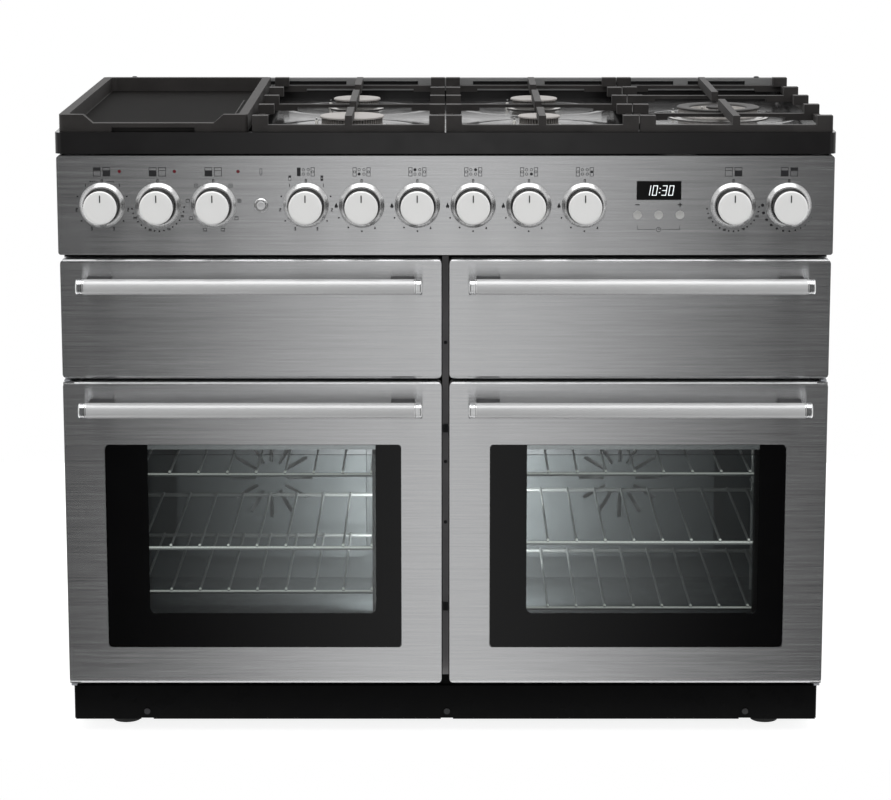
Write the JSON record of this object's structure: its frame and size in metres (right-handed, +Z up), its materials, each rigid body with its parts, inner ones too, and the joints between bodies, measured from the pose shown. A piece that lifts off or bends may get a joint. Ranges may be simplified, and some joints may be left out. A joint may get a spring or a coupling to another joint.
{
  "type": "range cooker",
  "caption": "Free-standing dual-fuel range cooker: gas hob with griddle and wok burner, two side-opening ovens and two drop-down upper doors.",
  "frame": {"origin": "on the floor, under the middle of the whole object's box", "axes": "+X to the right seen from the front, +Y to the back, +Z up; the doors face -Y"},
  "size_m": [1.1, 0.658, 0.9143],
  "materials": {
    "brushed_steel": "satin brushed, horizontal grain",
    "black_enamel": "gloss",
    "grey_enamel": "gloss speckled enamel",
    "galvanised": "matt grey sheet",
    "black_paint": "satin",
    "chrome": "polished",
    "satin_aluminium": "satin",
    "knob_metal": "spun, satin",
    "cast_iron": "matt enamel",
    "griddle_iron": "satin non-stick",
    "burner_aluminium": "cast, satin",
    "door_glass": "tinted",
    "dark_glass": "gloss",
    "seal_rubber": "matt",
    "lamp_red": "gloss",
    "brass": "plain",
    "switch_body": "matt",
    "ceramic_white": "glazed",
    "element": "heat-darkened"
  },
  "bodies": {
    "chassis": {"base_frame": "galvanised", "side_panels": "black_paint", "back_panel": "galvanised", "front_frame": "black_enamel", "plinth": "black_enamel", "fixing_screws": "black_paint", "levelling_feet": "galvanised", "oven_cavities": "grey_enamel", "upper_cavities": "grey_enamel", "oven_seals": "seal_rubber", "fan_baffles": "grey_enamel", "fan_motors": "galvanised", "heating_elements": "element", "shelf_runners": "chrome", "oven_shelves": "chrome", "grill_pan": "black_enamel", "hinge_brackets": "galvanised", "control_panel": "brushed_steel", "knob_bezels": "chrome", "indicator_lights": "lamp_red", "clock_display": "dark_glass", "taps_and_switches": "switch_body", "gas_manifold": "brass", "hob_top": "black_enamel", "vent_trim": "black_enamel", "griddle_hotplate": "dark_glass", "burner_bases": "burner_aluminium", "burner_crowns": "burner_aluminium", "burner_caps": "burner_aluminium", "igniters": "ceramic_white"},
    "light_button": {"light_button": "satin_aluminium"},
    "griddle": {"griddle": "griddle_iron"},
    "pan_support_left": {"pan_support_left": "cast_iron"},
    "pan_support_middle": {"pan_support_middle": "cast_iron"},
    "pan_support_wok": {"pan_support_wok": "cast_iron"},
    "left_fan": {"left_fan_rotor": "satin_aluminium"},
    "right_fan": {"right_fan_rotor": "satin_aluminium"},
    "left_oven_door": {"left_oven_door_skin": "brushed_steel", "left_oven_door_glass": "door_glass", "left_oven_door_liner": "black_enamel", "left_oven_door_handle": "satin_aluminium"},
    "right_oven_door": {"right_oven_door_skin": "brushed_steel", "right_oven_door_glass": "door_glass", "right_oven_door_liner": "black_enamel", "right_oven_door_handle": "satin_aluminium"},
    "grill_door": {"grill_door": "brushed_steel", "grill_door_handle": "satin_aluminium"},
    "slow_oven_door": {"slow_oven_door": "brushed_steel", "slow_oven_door_handle": "satin_aluminium"},
    "knob_grill": {"knob_grill": "knob_metal"},
    "knob_left_temperature": {"knob_left_temperature": "knob_metal"},
    "knob_left_function": {"knob_left_function": "knob_metal"},
    "knob_griddle": {"knob_griddle": "knob_metal"},
    "knob_burner_1": {"knob_burner_1": "knob_metal"},
    "knob_burner_2": {"knob_burner_2": "knob_metal"},
    "knob_burner_3": {"knob_burner_3": "knob_metal"},
    "knob_burner_4": {"knob_burner_4": "knob_metal"},
    "knob_burner_5": {"knob_burner_5": "knob_metal"},
    "knob_right_temperature": {"knob_right_temperature": "knob_metal"},
    "knob_slow_oven": {"knob_slow_oven": "knob_metal"}
  },
  "joints": [
    {"name": "left_oven_door_hinge", "type": "hinge", "parent": "chassis", "child": "left_oven_door", "pos_m": [-0.54, -0.273, 0.085], "axis": [0, 0, -1], "range_deg": [0, 95]},
    {"name": "right_oven_door_hinge", "type": "hinge", "parent": "chassis", "child": "right_oven_door", "pos_m": [0.54, -0.273, 0.085], "axis": [0, 0, 1], "range_deg": [0, 95]},
    {"name": "grill_door_hinge", "type": "hinge", "parent": "chassis", "child": "grill_door", "pos_m": [0, -0.273, 0.5425], "axis": [1, 0, 0], "range_deg": [0, 90]},
    {"name": "slow_oven_door_hinge", "type": "hinge", "parent": "chassis", "child": "slow_oven_door", "pos_m": [0, -0.273, 0.5425], "axis": [1, 0, 0], "range_deg": [0, 90]},
    {"name": "knob_grill_turn", "type": "hinge", "parent": "chassis", "child": "knob_grill", "pos_m": [-0.4841, -0.279, 0.787], "axis": [0, -1, 0], "range_deg": [-150, 150]},
    {"name": "knob_left_temperature_turn", "type": "hinge", "parent": "chassis", "child": "knob_left_temperature", "pos_m": [-0.4055, -0.279, 0.787], "axis": [0, 1, 0], "range_deg": [0, 280]},
    {"name": "knob_left_function_turn", "type": "hinge", "parent": "chassis", "child": "knob_left_function", "pos_m": [-0.3269, -0.279, 0.787], "axis": [0, 1, 0], "continuous": true},
    {"name": "knob_griddle_turn", "type": "hinge", "parent": "chassis", "child": "knob_griddle", "pos_m": [-0.1965, -0.279, 0.787], "axis": [0, -1, 0], "range_deg": [-155, 155]},
    {"name": "knob_burner_1_turn", "type": "hinge", "parent": "chassis", "child": "knob_burner_1", "pos_m": [-0.1179, -0.279, 0.787], "axis": [0, -1, 0], "range_deg": [0, 215]},
    {"name": "knob_burner_2_turn", "type": "hinge", "parent": "chassis", "child": "knob_burner_2", "pos_m": [-0.0393, -0.279, 0.787], "axis": [0, -1, 0], "range_deg": [0, 215]},
    {"name": "knob_burner_3_turn", "type": "hinge", "parent": "chassis", "child": "knob_burner_3", "pos_m": [0.0393, -0.279, 0.787], "axis": [0, -1, 0], "range_deg": [0, 215]},
    {"name": "knob_burner_4_turn", "type": "hinge", "parent": "chassis", "child": "knob_burner_4", "pos_m": [0.1179, -0.279, 0.787], "axis": [0, -1, 0], "range_deg": [0, 215]},
    {"name": "knob_burner_5_turn", "type": "hinge", "parent": "chassis", "child": "knob_burner_5", "pos_m": [0.1965, -0.279, 0.787], "axis": [0, -1, 0], "range_deg": [0, 215]},
    {"name": "knob_right_temperature_turn", "type": "hinge", "parent": "chassis", "child": "knob_right_temperature", "pos_m": [0.4062, -0.279, 0.787], "axis": [0, 1, 0], "range_deg": [0, 280]},
    {"name": "knob_slow_oven_turn", "type": "hinge", "parent": "chassis", "child": "knob_slow_oven", "pos_m": [0.4848, -0.279, 0.787], "axis": [0, 1, 0], "range_deg": [0, 280]},
    {"name": "light_button_press", "type": "slide", "parent": "chassis", "child": "light_button", "axis": [0, 1, 0], "range_m": [0, 0.002], "stiffness_N_per_m": 300},
    {"name": "griddle_lift", "type": "slide", "parent": "chassis", "child": "griddle", "axis": [0, 0, 1], "range_m": [0, 0.1]},
    {"name": "pan_support_left_lift", "type": "slide", "parent": "chassis", "child": "pan_support_left", "axis": [0, 0, 1], "range_m": [0, 0.08]},
    {"name": "pan_support_middle_lift", "type": "slide", "parent": "chassis", "child": "pan_support_middle", "axis": [0, 0, 1], "range_m": [0, 0.08]},
    {"name": "pan_support_wok_lift", "type": "slide", "parent": "chassis", "child": "pan_support_wok", "axis": [0, 0, 1], "range_m": [0, 0.08]},
    {"name": "left_fan_spin", "type": "hinge", "parent": "chassis", "child": "left_fan", "pos_m": [-0.27587, 0.1638, 0.293], "axis": [0, -1, 0], "continuous": true},
    {"name": "right_fan_spin", "type": "hinge", "parent": "chassis", "child": "right_fan", "pos_m": [0.27587, 0.1638, 0.293], "axis": [0, -1, 0], "continuous": true}
  ]
}
